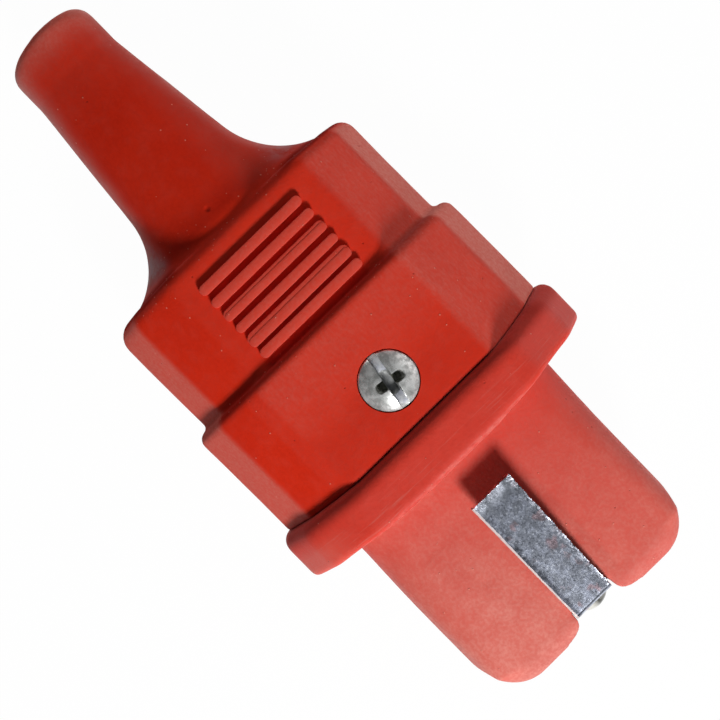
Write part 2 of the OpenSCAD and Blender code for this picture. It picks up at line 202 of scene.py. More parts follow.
# Contact springs and wire screws
# Split rings of spring steel close the slit sleeves on their pins, and slotted grub screws clamp
# the wires in the sleeves' terminal ends. All are hidden in the finished plug.
def bright_steel(name, light, dark, shine):
    """Plated steel: fine drawn lines, faint smudges and a few dark nicks."""
    material, shader, place = finish(name, Metallic=1.0)
    lines = place.stretch(1, 14, 14).noise(0.2 * mm, 3)
    smudge = place.noise(1.6 * mm, 3).fade(0.35, 0.7)
    nicks = place.dots(0.9 * mm, 0.12 * mm, 0.25)
    colour = (lines * 0.4 + smudge * 0.4).tint(light, dark)
    colour = (nicks * 0.5).tint(colour, tone(70, 70, 72))
    feed(shader, place, colour, shine + lines * 0.1 + smudge * 0.1, lines - nicks, 0.012 * mm)
    return material


spring_finish = bright_steel("spring_steel", tone(190, 193, 198), tone(150, 153, 160), 0.22)
plated_finish = bright_steel("nickel_plate", tone(236, 235, 230), tone(190, 190, 188), 0.27)
dress(spring_finish, "contact_spring_left", "contact_spring_right")
dress(plated_finish, "wire_screw_left", "wire_screw_right")


# Earth block
# A sawn and drilled brass block in the insert's pocket. The earth bolt, the cover screw and the
# earth wire's grub screw are all threaded into it.
dress(brass_finish, "earth_block")
dress(plated_finish, "earth_wire_screw")


# Nose insert
# One moulding of pinkish red silicone: a flange, a nose with two round lobes that hold the contact
# sleeves, and a spigot that goes into the cover. Its skin is matte, dusty and scuffed at the rim.
insert_low, insert_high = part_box("nose_insert")
mounts = {m["name"]: m for m in frame["record"]["mounts"]}
x_spigot = insert_low.x
x_nose = insert_high.x
x_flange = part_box("rear_cover")[1].x
x_mate = mounts["mating_face"]["pos_m"][0]
x_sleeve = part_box("contact_left")[1].x
x_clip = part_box("earth_clip")[1].x
contact_y = mounts["contact_left"]["pos_m"][1]
strip_t = 0.8 * mm
x_web = x_clip - strip_t
flange_w = insert_high.y - insert_low.y
flange_h = insert_high.z - insert_low.z
shoulder_run = 7.45 * mm
shoulder_drop = 5.75 * mm
side_draft = 3.5 * mm
parting_band = 3 * mm
flange_corner = 5 * mm
rear_rim = 1.9 * mm
front_rim = 0.9 * mm
nose_w = 34.2 * mm
nose_h = 16 * mm
nose_round = 6.3 * mm
nose_end_round = 2.6 * mm
nose_corner = 5.3 * mm
nose_trim = 0.25 * mm
nose_lean = 0.3 * mm
lean_len = 12 * mm
end_slant = 0.35 * mm
slant_y = 6 * mm
tail_bend = 0.15 * mm
tail_bend_run = (-19 * mm, -15 * mm)
body_bend = 0.4 * mm
body_bend_run = (-14 * mm, 14 * mm)
far_sweep = 0.9 * mm
near_sweep = 0.55 * mm
sweep_len = 6 * mm
rear_sweep_run = (12 * mm, 25 * mm)
front_sweep_run = (5 * mm, 19 * mm)
notch_w = 6.6 * mm
lobe_run = 2.1 * mm
lobe_spread = 3.1 * mm
spigot_w = 36 * mm
spigot_h = 18 * mm
entry_r = 3.5 * mm
entry_len = 6 * mm
sleeve_r = 4.3 * mm
collar_r = 4.9 * mm
collar_t = 2 * mm
bolt_hole_r = 1.7 * mm
screw_hole_r = 2.2 * mm
earth_gap = 0.15 * mm
skin_voxel = 0.34 * mm
bite = 1 * mm
flush = 1e-6


def box_form(low, high):
    """A box between two corners, in edit mode."""
    bpy.ops.object.select_all(action="DESELECT")
    low = Vector(low)
    high = Vector(high)
    bpy.ops.mesh.primitive_cube_add(size=1, location=(low + high) / 2, scale=high - low)
    bpy.ops.object.transform_apply(location=True, rotation=False, scale=True)
    bpy.ops.object.mode_set(mode="EDIT")
    return bpy.context.object


def pick_edges(test):
    """Selects the edges of the form in edit mode that pass the test."""
    bpy.ops.mesh.select_mode(type="EDGE")
    bpy.ops.mesh.select_all(action="DESELECT")
    shape = bmesh.from_edit_mesh(bpy.context.object.data)
    for edge in shape.edges:
        edge.select_set(test(edge))
    bmesh.update_edit_mesh(bpy.context.object.data)


def pick_faces(test):
    """Selects the faces of the form in edit mode whose normal passes the test."""
    bpy.ops.mesh.select_mode(type="FACE")
    bpy.ops.mesh.select_all(action="DESELECT")
    shape = bmesh.from_edit_mesh(bpy.context.object.data)
    for face in shape.faces:
        face.select_set(test(face.normal))
    bmesh.update_edit_mesh(bpy.context.object.data)


def round_edges(test, offset, segments):
    """Rounds those edges of the form in edit mode."""
    pick_edges(test)
    bpy.ops.mesh.bevel(offset=offset, segments=segments, affect="EDGES")


def along(letter):
    """A test for edges that run along one axis."""
    def test(edge):
        a, b = [getattr(v.co, letter) for v in edge.verts]
        return abs(a - b) > flush
    return test


def ring_at(x):
    """A test for the edges of the form's outline at x."""
    return lambda edge: all(abs(v.co.x - x) < flush for v in edge.verts)


def round_long_edges(radius):
    """Rounds the edges that run along the plug to one radius, whatever angle they turn through."""
    shape = bmesh.from_edit_mesh(bpy.context.object.data)
    runs = along("x")
    turns = {round(edge.calc_face_angle(), 2) for edge in shape.edges if runs(edge)}
    for turn in turns:
        round_edges(lambda edge: runs(edge) and abs(edge.calc_face_angle() - turn) < 0.01,
                    radius * math.tan(turn / 2), 5)


def leave_edit():
    """Turns the faces of the form outwards and leaves edit mode."""
    bpy.ops.mesh.select_all(action="SELECT")
    bpy.ops.mesh.normals_make_consistent(inside=False)
    bpy.ops.object.mode_set(mode="OBJECT")
    return bpy.context.object


def planed_block(x0, x1, width, height, inset=0.0):
    """A block along the plug with sloped shoulders and drafted sides, planed from a box."""
    block = box_form((x0, inset - width / 2, inset - height / 2),
                     (x1, width / 2 - inset, height / 2 - inset))
    side = Vector((0, width / 2, parting_band / 2))
    knee = Vector((0, width / 2 - side_draft, height / 2 - shoulder_drop))
    ridge = Vector((0, knee.y - shoulder_run, height / 2))
    for low, high in ((side, knee), (knee, ridge)):
        fall = high - low
        for sy, sz in ((1, 1), (1, -1), (-1, 1), (-1, -1)):
            outward = Vector((0, sy * fall.z, -sz * fall.y)).normalized()
            bpy.ops.mesh.select_all(action="SELECT")
            bpy.ops.mesh.bisect(plane_co=Vector((0, sy * low.y, sz * low.z)) - inset * outward,
                                plane_no=outward, clear_outer=True, use_fill=True, threshold=1e-7)
    return block


def bar_form(x0, x1, width, height):
    """A bar along the plug with a flat top and bottom and half-round sides."""
    box_form((x0, -width / 2, -height / 2), (x1, width / 2, height / 2))
    round_edges(along("x"), 0.499 * height, 12)
    return leave_edit()


def tube_form(start, way, rings, sides=64):
    """A round bar drawn out of a disc: rings holds (distance along way, radius) pairs."""
    start = Vector(start)
    way = Vector(way)
    bpy.ops.object.select_all(action="DESELECT")
    bpy.ops.mesh.primitive_circle_add(vertices=sides, radius=rings[0][1], fill_type="NGON",
                                      location=start + rings[0][0] * way,
                                      rotation=way.to_track_quat("Z", "Y").to_euler())
    bpy.ops.object.transform_apply(location=True, rotation=True, scale=True)
    bpy.ops.object.mode_set(mode="EDIT")
    bpy.ops.mesh.select_all(action="SELECT")
    for (t0, r0), (t1, r1) in zip(rings, rings[1:]):
        bpy.ops.mesh.extrude_region_move(TRANSFORM_OT_translate={"value": (t1 - t0) * way})
        bpy.ops.transform.resize(value=[r1 / r0] * 3, center_override=start + t1 * way)
    return leave_edit()


def change(piece, kind, **settings):
    """Adds a modifier to a piece and applies it."""
    bpy.ops.object.select_all(action="DESELECT")
    bpy.context.view_layer.objects.active = piece
    piece.select_set(True)
    step = piece.modifiers.new(kind.lower(), kind)
    for name, value in settings.items():
        setattr(step, name, value)
    bpy.ops.object.modifier_apply(modifier=step.name)


def combine(piece, others, operation):
    """Adds other forms to a piece, or cuts them out of it."""
    for other in others:
        change(piece, "BOOLEAN", operation=operation, object=other, solver="EXACT")
        bpy.data.objects.remove(other)
    return piece


def soften(piece, voxel):
    """Runs a piece's forms together into one soft moulding with small fillets, slightly uneven."""
    change(piece, "REMESH", mode="VOXEL", voxel_size=voxel, use_smooth_shade=True)
    change(piece, "SMOOTH", factor=0.5, iterations=4)
    waves = bpy.data.textures.new("mould_waves", "CLOUDS")
    waves.noise_scale = 6 * mm
    change(piece, "DISPLACE", texture=waves, strength=0.08 * mm, texture_coords="LOCAL")


def hand_in(piece, name, material, slot, *nodes):
    """Names a finished piece, smooths it, gives it its finish and lets it stand for CAD nodes."""
    bpy.ops.object.select_all(action="DESELECT")
    piece.select_set(True)
    bpy.context.view_layer.objects.active = piece
    bpy.ops.object.shade_smooth_by_angle(angle=math.radians(38))
    piece.name = name
    piece.data.name = name
    piece.data.materials.clear()
    piece.data.materials.append(material)
    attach(piece, "root")
    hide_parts(*nodes)


def ease(value, start, end):
    """A smooth step from 0 where value is start to 1 where it is end."""
    t = min(1, max(0, (value - start) / (end - start)))
    return t * t * (3 - 2 * t)


def move_points(shift):
    """Moves each point of the form in edit mode by what shift gives for its place."""
    shape = bmesh.from_edit_mesh(bpy.context.object.data)
    for corner in shape.verts:
        corner.co += Vector(shift(corner.co))
    bmesh.update_edit_mesh(bpy.context.object.data)


def sway(x):
    """How far the soft body is bent to one side at x."""
    return body_bend * ease(x, *body_bend_run) - tail_bend * ease(x, *tail_bend_run)


def flange_sweep(place):
    """How far the soft flange is bent back at its ends; the cover's front edge follows it."""
    side = abs(place.y)
    front = ease(place.x, x_flange, x_mate)
    back = (1 - front) * ease(side, *rear_sweep_run) + front * ease(side, *front_sweep_run)
    sweep = far_sweep if place.y > 0 else near_sweep
    return (-sweep * back * ease(place.x, x_flange - sweep_len, x_flange), sway(place.x), 0)


def flange_form():
    """The flange: the cover's outline, larger, with round corners and a round rim."""
    planed_block(x_flange, x_mate, flange_w, flange_h)
    round_long_edges(flange_corner)
    round_edges(ring_at(x_flange), rear_rim, 5)
    round_edges(ring_at(x_mate), front_rim, 4)
    bpy.ops.mesh.select_all(action="SELECT")
    bpy.ops.mesh.quads_convert_to_tris()
    bpy.ops.mesh.subdivide(number_cuts=3)
    move_points(flange_sweep)
    return leave_edit()


def nose_form():
    """The nose: stretched over round edges and a flatter end, then notched and drilled for the pins."""
    half = nose_w / 2
    box_form((x_mate - 2 * bite, -half, -nose_h / 2), (x_nose, half, nose_h / 2))
    round_edges(lambda edge: max(v.co.x for v in edge.verts) > x_mate, nose_round, 10)
    nose = leave_edit()
    half -= bite
    box_form((x_nose - nose_corner - 0.5 * bite, -half, -nose_h / 2), (x_nose, half, nose_h / 2))
    upright = along("z")
    round_edges(lambda edge: upright(edge) and edge.verts[0].co.x > x_nose - flush, nose_corner, 8)
    round_edges(lambda edge: min(abs(v.co.z) for v in edge.verts) > nose_h / 2 - flush, nose_end_round, 6)
    leave_edit()
    nose.select_set(True)
    bpy.context.view_layer.objects.active = nose
    bpy.ops.object.join()
    bpy.ops.object.mode_set(mode="EDIT")
    bpy.ops.mesh.select_all(action="SELECT")
    bpy.ops.mesh.convex_hull()
    leave_edit()
    mouth = [(0, entry_r), (entry_len, entry_r)]
    entries = [tube_form((x_sleeve - bite, s * contact_y, 0), (1, 0, 0), mouth) for s in (-1, 1)]
    return combine(nose, [notch_form(), *entries], "DIFFERENCE")


def lean_nose(place):
    """The soft nose leans a little to one side, and its end is cut at a slant."""
    x_lean = x_mate + lean_len
    out = ease(place.x, x_mate - 2 * bite, x_lean)
    end = ease(place.x, x_lean, x_nose)
    slant = end_slant * ease(place.y, slant_y, -slant_y)
    return (-(nose_trim + slant) * end, -nose_lean * out, 0)


def notch_form():
    """What the mould leaves out between the lobes: straight walls and a round, widening mouth."""
    box_form((x_web, -notch_w / 2, -nose_h), (x_nose - lobe_run, notch_w / 2, nose_h))
    pick_faces(lambda normal: normal.x > 0.9)
    steps = 8
    turns = [math.pi / 2 * i / steps for i in range(steps + 1)]
    for before, turn in zip(turns, turns[1:]):
        forward = lobe_run * (math.sin(turn) - math.sin(before))
        wider = ((notch_w + 2 * lobe_spread * (1 - math.cos(turn)))
                 / (notch_w + 2 * lobe_spread * (1 - math.cos(before))))
        bpy.ops.mesh.extrude_region_move(TRANSFORM_OT_translate={"value": (forward, 0, 0)})
        bpy.ops.transform.resize(value=(1, wider, 1), center_override=(0, 0, 0))
    bpy.ops.mesh.extrude_region_move(TRANSFORM_OT_translate={"value": (2 * bite, 0, 0)})
    return leave_edit()


def insert_hollows():
    """The holes for the sleeves, the bolt, the cover screw and the earth block."""
    behind = x_spigot - bite
    block_low, block_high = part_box("earth_block")
    screw_x = sum(p.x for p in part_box("cover_screw")) / 2
    room = Vector((earth_gap, earth_gap, earth_gap))
    low = block_low - room
    low.x = behind
    box_form(low, block_high + room)
    hollows = leave_edit()
    collar_end = collar_t + bite
    sleeve_room = [(0, collar_r), (collar_end, collar_r), (collar_end + 10 * flush, sleeve_r),
                   (x_sleeve - behind, sleeve_r)]
    bores = [tube_form((behind, s * contact_y, 0), (1, 0, 0), sleeve_room) for s in (-1, 1)]
    bores.append(tube_form((block_high.x - bite, 0, 0), (1, 0, 0),
                           [(0, bolt_hole_r), (x_web - block_high.x + 2 * bite, bolt_hole_r)], 32))
    bores.append(tube_form((screw_x, 0, 0), (0, 0, 1), [(0, screw_hole_r), (spigot_h, screw_hole_r)], 32))
    return combine(hollows, bores, "UNION")


insert = combine(flange_form(), [nose_form(), bar_form(x_spigot, x_flange + 2 * bite, spigot_w, spigot_h)],
                 "UNION")
soften(insert, skin_voxel)
bpy.ops.object.mode_set(mode="EDIT")
move_points(lean_nose)
bpy.ops.object.mode_set(mode="OBJECT")
combine(insert, [insert_hollows()], "DIFFERENCE")


def silicone(name, deep, shade, pale, marks, gloss, matte):
    """Matte silicone rubber: cloudy colour, a fine grain, pits, pale specks, worn and painted-sheen pale
    places, dark and painted-shade places.
    """
    material, shader, place = finish(name, IOR=1.45, Sheen_Weight=0.06, Sheen_Roughness=0.35,
                                     Specular_IOR_Level=gloss)
    rub_and_sheen, dusty, dark, dips, ash_and_sheen = marks(place)
    cloud = place.noise(7 * mm, 3).fade(0.3, 0.7)
    blotch = place.noise(1.8 * mm, 3).fade(0.4, 0.75)
    skin = place.noise(0.45 * mm, 3, 0.6).fade(0.35, 0.7)
    grain = place.noise(0.16 * mm, 3)
    dust = place.dots(1.4 * mm, 0.14 * mm, 0.4) + place.dots(0.9 * mm, 0.13 * mm, 0.9) * dusty
    pits = place.dots(2.3 * mm, 0.16 * mm, 0.4)
    colour = (cloud * 0.6).tint(deep, shade)
    colour = (blotch * 0.03 + grain * 0.02).tint(colour, pale)
    # Darker tone, and painted shade where the marks paint it.
    colour = (dark + skin * 0.1).tint(colour, tone(128, 15, 6))
    # Pale wear, and painted sheen where the marks paint it.
    colour = (rub_and_sheen * (0.8 + skin * 0.4)).tint(colour, pale)
    # Grey tint, part of it painted sheen.
    colour = ash_and_sheen.tint(colour, tone(172, 148, 152))
    colour = (dust * 0.5).tint(colour, tone(224, 142, 122))
    colour = (pits * 0.3).tint(colour, tone(96, 12, 8))
    height = grain * 0.25 + skin * 0.35 + blotch * 0.3 + dust * 2 - pits * 2 + cloud - dips * 6
    feed(shader, place, colour, matte + grain * 0.12 - rub_and_sheen * 0.05 + dark * 0.5, height, 0.03 * mm)
    return material


def insert_marks(place):
    """Streaks round the flange's rim, a worn front edge, a pale chalky tint on the nose that is mostly
    painted sheen, painted shade where the flange meets the cover and under the strip, and a darker nose
    end.
    """
    x = place.axis("X")
    y = place.axis("Y")
    on_rim = x.band(x_flange + 2 * mm, x_flange + 4 * mm, x_mate, x_mate + 0.3 * mm)
    streaks = place.stretch(1, 25, 25).noise(0.22 * mm, 2).fade(0.55, 0.72)
    edge = x.band(x_mate - 0.9 * mm, x_mate - 0.4 * mm, x_mate, x_mate + 0.2 * mm)
    broken = place.noise(1.2 * mm, 3).fade(0.35, 0.6)
    near_side = y.fade(10 * mm, -12 * mm)
    # Pale chalky tint on the nose, most of it painted sheen: paler toward the end and the near side.
    bloom_and_sheen = x.fade(x_mate - 1 * mm, x_nose - 4 * mm) * (0.25 + near_side * 0.04) + near_side * 0.2 + 0.11
    sheen_mottle = place.noise(3 * mm, 4, 0.6).fade(0.25, 0.75) * 0.4 + 0.7
    on_nose = x.fade(x_mate - 0.2 * mm, x_mate + 0.4 * mm)
    # Painted sheen on the near end of the flange's rim.
    near_end_sheen = on_rim * y.fade(-15 * mm, -22 * mm) * 0.2
    rub_and_sheen = on_rim * streaks * 0.16 + edge * broken * 0.2 + on_nose * bloom_and_sheen * sheen_mottle + near_end_sheen
    # Painted shade on the flange's rear rounding, where it meets the cover.
    joint_shade = x.fade(x_flange + 2.4 * mm, x_flange + 0.5 * mm)
    # Painted shadow of the earth strip on the nose, behind and beside its free end.
    strip_shadow = x.band(x_clip - 24.2 * mm, x_clip - 23.2 * mm, x_clip - 2 * mm, x_clip)
    strip_shadow = strip_shadow * y.band(-3.2 * mm, -2.4 * mm, 4.6 * mm, 5.6 * mm)
    # The nose darker toward its end, most on the near side.
    at_end = x.fade(x_nose - 4.5 * mm, x_nose - 0.8 * mm)
    dark = joint_shade * 0.4 + on_rim * streaks * 0.12 + on_nose * 0.12
    dark = dark + strip_shadow * 0.22 + at_end * (0.15 + near_side * 0.4)
    ash_and_sheen = at_end * 0.06 + edge * 0.06
    scar = place.near((x_mate + 14 * mm, -8.6 * mm, 8 * mm), 1.1 * mm)
    return rub_and_sheen, edge, dark, scar * 0.3, ash_and_sheen


insert_finish = silicone("insert_silicone", tone(204, 49, 30), tone(200, 45, 27),
                         tone(222, 140, 126), insert_marks, 0.35, 0.58)
hand_in(insert, "insert_moulding", insert_finish, "insert_silicone", "nose_insert")


# Earth clip
# A strip sheared from tinned steel and bent to a U round the web between the lobes. Shearing has
# bent one edge over and left it bright, partly as a painted highlight, and has torn the other edge and the
# free ends.
clip_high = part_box("earth_clip")[1]
strip_len = 19.5 * mm
leg_len = 20.3 * mm
leg_lift = 2.8 * mm
strip_lean = math.asin(leg_lift / leg_len)
free_w = 6.45 * mm
bend_w = 6.05 * mm
strip_bow = 0.18 * mm
edge_taper = 0.0095
bend_z = clip_high.z - strip_t * math.cos(strip_lean) - strip_len * math.sin(strip_lean)
bend_turn = math.pi / 2 - strip_lean
bend_len = strip_t * bend_turn
half_blank = strip_len + bend_len + bend_z
strip_cell = 0.2 * mm
edge_tear = 0.12 * mm
edge_burr = 0.02 * mm
rolled_tear = 0.03 * mm
end_tear = 0.1 * mm
end_burr = 0.03 * mm
edge_break = 0.1 * mm
shear = random.Random(4)


def bent(s):
    """Where a point of the flat blank's upper face, s from its middle, comes to in the bent clip."""
    up = abs(s)
    if up < bend_z:
        x, z = x_clip, up
    elif up < bend_z + bend_len:
        turn = (up - bend_z) / strip_t
        x = x_web + strip_t * math.cos(turn)
        z = bend_z + strip_t * math.sin(turn)
    else:
        out = up - bend_z - bend_len
        x = x_web + strip_t * math.sin(strip_lean) - out * math.cos(strip_lean)
        z = bend_z + strip_t * math.cos(strip_lean) + out * math.sin(strip_lean)
    return x, math.copysign(z, s)


def torn(size):
    """How far a sheared edge is torn at one place: mostly little, sometimes much."""
    return size * shear.random() ** 2


def strip_form():
    """The flat blank with its sheared edges, bent to a U."""
    bpy.ops.object.select_all(action="DESELECT")
    bpy.ops.mesh.primitive_grid_add(x_subdivisions=round(2 * half_blank / strip_cell),
                                    y_subdivisions=round(free_w / strip_cell), size=2)
    strip = bpy.context.object
    bpy.ops.object.mode_set(mode="EDIT")
    shape = bmesh.from_edit_mesh(strip.data)
    for corner in shape.verts:
        run, across, _ = corner.co
        width = bend_w + (free_w - bend_w) * run ** 2
        s = run * half_blank
        y = -across * width / 2 - nose_lean - strip_bow * (1 - run ** 2)
        lift = 0.0
        if across < -0.99:
            y -= torn(edge_tear)
            lift = torn(edge_burr)
        elif across > 0.99:
            y += torn(rolled_tear)
        if abs(run) > 0.999:
            s -= math.copysign(torn(end_tear), s)
            lift = torn(end_burr)
        x, z = bent(s)
        corner.co = (x, y, z + math.copysign(lift, z) if abs(s) > bend_z else z)
    bmesh.update_edit_mesh(strip.data)
    bpy.ops.object.mode_set(mode="OBJECT")
    return strip


clip = strip_form()
change(clip, "SOLIDIFY", thickness=strip_t, offset=-1)
change(clip, "BEVEL", width=edge_break, segments=2, limit_method="ANGLE", angle_limit=math.radians(50))
bolt_hole = tube_form((x_web - bite, 0, 0), (1, 0, 0), [(0, bolt_hole_r), (3 * bite, bolt_hole_r)], 32)
combine(clip, [bolt_hole], "DIFFERENCE")


def tinned():
    """Hot-tinned steel: mottled blue-grey, small bright marks at torn edges, a pale matte edge that is
    partly a painted highlight, a free end painted paler as a reflection, and painted shade near the free
    end's near edge.
    """
    material, shader, place = finish("tinned_steel")
    x = place.axis("X")
    back = x_clip - x
    y = place.axis("Y") + nose_lean + back.fade(19 * mm, 2 * mm) * strip_bow
    side = y - back * edge_taper
    low_side = y + back * edge_taper
    runs = place.noise(1.1 * mm, 5, 0.7)
    dull = runs.fade(0.38, 0.62)
    fine = place.noise(0.3 * mm, 4, 0.75)
    spark = fine.fade(0.56, 0.66)
    torn_side = side.fade(2.1 * mm, 2.8 * mm) + back.fade(18.7 * mm, 19.4 * mm)
    teeth = place.noise(0.42 * mm, 3, 0.6).fade(0.42, 0.6) * torn_side
    drag = (torn_side * 0.7 + side.fade(-1.9 * mm, -2.5 * mm)) * place.noise(0.5 * mm, 3).fade(0.4, 0.6)
    stain = place.noise(2.4 * mm, 3).fade(0.57, 0.66)
    wave = place.noise(0.8 * mm, 2)
    # The near edge, turned over by shearing and painted pale and matte: partly its own bare shear, partly
    # a painted highlight.
    rolled_edge_highlight = (low_side + wave * (0.16 * mm)).fade(-2.66 * mm, -2.74 * mm)
    colour = dull.tint(tone(204, 210, 225), tone(172, 178, 194))
    colour = (spark * 0.7).tint(colour, tone(238, 242, 250))
    colour = (fine.fade(0.47, 0.36) * 0.6).tint(colour, tone(108, 112, 126))
    colour = (stain * 0.5).tint(colour, tone(190, 142, 142))
    colour = (drag * 0.75).tint(colour, tone(96, 99, 110))
    colour = (teeth * 0.4).tint(colour, tone(236, 239, 248))
    # Painted reflection: the lifted free end painted paler.
    colour = (back.fade(17.6 * mm, 19.2 * mm) * 0.8).tint(colour, tone(232, 238, 252))
    # Painted shade along the near edge toward the free end.
    shaded = low_side.fade(-2.0 * mm, -2.5 * mm) * back.fade(15 * mm, 10 * mm)
    colour = (shaded * 0.6).tint(colour, tone(78, 80, 90))
    colour = rolled_edge_highlight.tint(colour, tone(186, 171, 168))
    rough = 0.13 + dull * 0.07 + fine * 0.1 + teeth * 0.05 + rolled_edge_highlight * 0.3
    feed(shader, place, colour, rough, runs * 0.6 + fine * 0.5 + teeth * 0.25, 0.012 * mm)
    place.join(shader.inputs["Metallic"], 1 - rolled_edge_highlight * 0.8)
    return material


tin_finish = tinned()
hand_in(clip, "earth_strip", tin_finish, "tinned_steel", "earth_clip")


# Earth bolt and spring washer
# A long round-head screw of nickel-plated steel with a split washer under its head. It clamps the
# clip's web to the nose and is threaded into the earth block.
def bolt_steel():
    """Worn plate on the bolt's head, painted with its reflection: bright on the near side, dark on the far
    side.
    """
    material, shader, place = finish("bolt_steel", Metallic=1.0)
    # Painted reflection: the far side of the head painted dark.
    dark_reflection = place.axis("Y").fade(-0.9 * mm, 0.3 * mm)
    smudge = place.noise(0.7 * mm, 3).fade(0.35, 0.7)
    colour = (smudge * 0.3).tint(tone(238, 236, 228), tone(176, 174, 164))
    colour = (dark_reflection * (0.75 + smudge * 0.2)).tint(colour, tone(62, 62, 56))
    feed(shader, place, colour, 0.16 + smudge * 0.08, smudge, 0.01 * mm)
    return material


dress(bolt_steel(), "earth_bolt")
dress(spring_finish, "earth_washer")


# Rear cover
# One hollow moulding of deep red silicone: the cord boot with its collar and flare, the grip block
# with its ribs, and the front block that slips over the spigot. It has small pits and pale dust.
screw_low, screw_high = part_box("cover_screw")
x_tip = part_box("rear_cover")[0].x
front_len = 17.5 * mm
grip_len = 17 * mm
flare_len = 9.3 * mm
x_front = x_flange - front_len
x_grip = x_front - grip_len
x_flare = x_grip - flare_len
x_screw = (screw_low.x + screw_high.x) / 2
front_w = 45.1 * mm
front_h = 26.6 * mm
grip_step = 1.9 * mm
grip_top = front_h / 2 - grip_step
block_round = 1.4 * mm
grip_round = 1.9 * mm
front_corner = 0.7 * mm
grip_corner = 2.6 * mm
boot_tip_r = 6.65 * mm
boot_root_r = 8.7 * mm
boot_collar_len = 6.5 * mm
boot_tip_round = 2.2 * mm
boot_tip_drop = 0.7 * mm
boot_drop_run = boot_tip_round / 1.8
boot_set_in = 0.05 * mm
tip_steps = 5
flare_steps = 14
tip_slant = math.tan(math.radians(3))
boot_sag = 0.55 * mm
sag_len = 18 * mm
flare_out = 6.9 * mm
flare_rise = 0.4 * mm
flare_arc = 0.96
cord_bore_r = mounts["cord_entry"]["dims"]["r_mm"] * mm
rib_len = 17 * mm
rib_h = 0.85 * mm
rib_pitch = 2.14 * mm
rib_setback = 1.85 * mm
first_rib = x_front - rib_setback
rib_edge = 0.14 * mm
rib_widths = [w * mm for w in (1.35, 1.85, 1.25, 1.5, 1.3, 1.35)]
ledges = {1: 0.55 * mm, 3: 0.4 * mm}
ledge_h = 0.86 * rib_h
spigot_gap = 0.15 * mm
chamber_wall = 3 * mm
chamber_w = 32 * mm
chamber_h = 16 * mm
recess_depth = 1.6 * mm
screw_seat = front_h / 2 - recess_depth
screw_y = 0.25 * mm
rib_y = -0.3 * mm
recess_r = 3.95 * mm
hair = 0.01 * mm


def block_form(x0, x1, inset, edge_round, plan_round):
    """One of the cover's two blocks, with soft edges and rounder corners seen from above."""
    block = planed_block(x0, x1, front_w, front_h, inset)
    round_long_edges(1.1 * edge_round)
    round_edges(ring_at(x0), edge_round, 5)
    leave_edit()
    half = front_w / 2 - inset + hair
    box_form((x0, -half, -front_h), (x1 + bite, half, front_h))
    upright = along("z")
    round_edges(lambda edge: upright(edge) and edge.verts[0].co.x < x0 + flush, plan_round, 8)
    return combine(block, [leave_edit()], "INTERSECT")


def flare_share(t):
    """How much of its growth the flare has made after a share t of its length."""
    return (1 - math.sqrt(1 - (flare_arc * t) ** 2)) / (1 - math.sqrt(1 - flare_arc ** 2))


def boot_rings():
    """Place, half width and half height of each ring of the boot, from its end to its root."""
    x_collar = x_tip + boot_collar_len
    slope = (boot_root_r - boot_tip_r) / (x_flare - x_collar)
    rings = []
    for i in range(tip_steps + 1):
        turn = math.pi / 2 * i / tip_steps
        out = boot_tip_round * (1 - math.cos(turn))
        drop = boot_tip_drop * max(0, 1 - out / boot_drop_run) ** 2
        rings.append((x_tip + boot_set_in + out, boot_tip_r - boot_tip_round * (1 - math.sin(turn)),
                      boot_tip_r - drop))
    rings.append((x_collar, boot_tip_r, boot_tip_r))
    for i in range(flare_steps + 1):
        t = i / flare_steps
        r = boot_root_r + slope * t * (x_grip - x_flare)
        grown = flare_share(t)
        rings.append((x_flare + t * (x_grip - x_flare), r + flare_out * grown, r + flare_rise * grown))
    x, half_w, half_h = rings[-1]
    rings.append((x + 2 * bite, half_w, half_h))
    return rings


def boot_form():
    """The boot, drawn out ring by ring; it sags to one side and its end is cut at a slant."""
    rings = boot_rings()
    x, half_w, half_h = rings[0]
    bpy.ops.object.select_all(action="DESELECT")
    bpy.ops.mesh.primitive_circle_add(vertices=96, radius=half_w, fill_type="NGON", location=(x, 0, 0),
                                      rotation=(0, math.pi / 2, 0))
    bpy.ops.object.transform_apply(location=True, rotation=True, scale=True)
    bpy.ops.object.mode_set(mode="EDIT")
    bpy.ops.mesh.select_all(action="SELECT")
    bpy.ops.transform.resize(value=(1, 1, half_h / half_w), center_override=(x, 0, 0))
    for (x0, w0, h0), (x1, w1, h1) in zip(rings, rings[1:]):
        bpy.ops.mesh.extrude_region_move(TRANSFORM_OT_translate={"value": (x1 - x0, 0, 0)})
        bpy.ops.transform.resize(value=(1, w1 / w0, h1 / h0), center_override=(x1, 0, 0))
    boot = bpy.context.object
    shape = bmesh.from_edit_mesh(boot.data)
    for corner in shape.verts:
        sag = boot_sag * ease(corner.co.x, x_grip, x_grip - sag_len)
        slant = max(0, 1 - (corner.co.x - x_tip) / boot_collar_len)
        corner.co.x -= tip_slant * slant * corner.co.y
        corner.co.y -= sag
    bmesh.update_edit_mesh(boot.data)
    return leave_edit()


def rib_form(x, face, width, height):
    """One grip rib with round ends and softened edges."""
    low, high = sorted((face * (grip_top - bite), face * (grip_top + height)))
    half = rib_len / 2
    box_form((x - width / 2, rib_y - half, low), (x + width / 2, rib_y + half, high))
    round_edges(along("z"), 0.45 * width, 5)
    round_edges(lambda edge: min(abs(v.co.z) for v in edge.verts) > grip_top + height - flush, rib_edge, 2)
    return leave_edit()


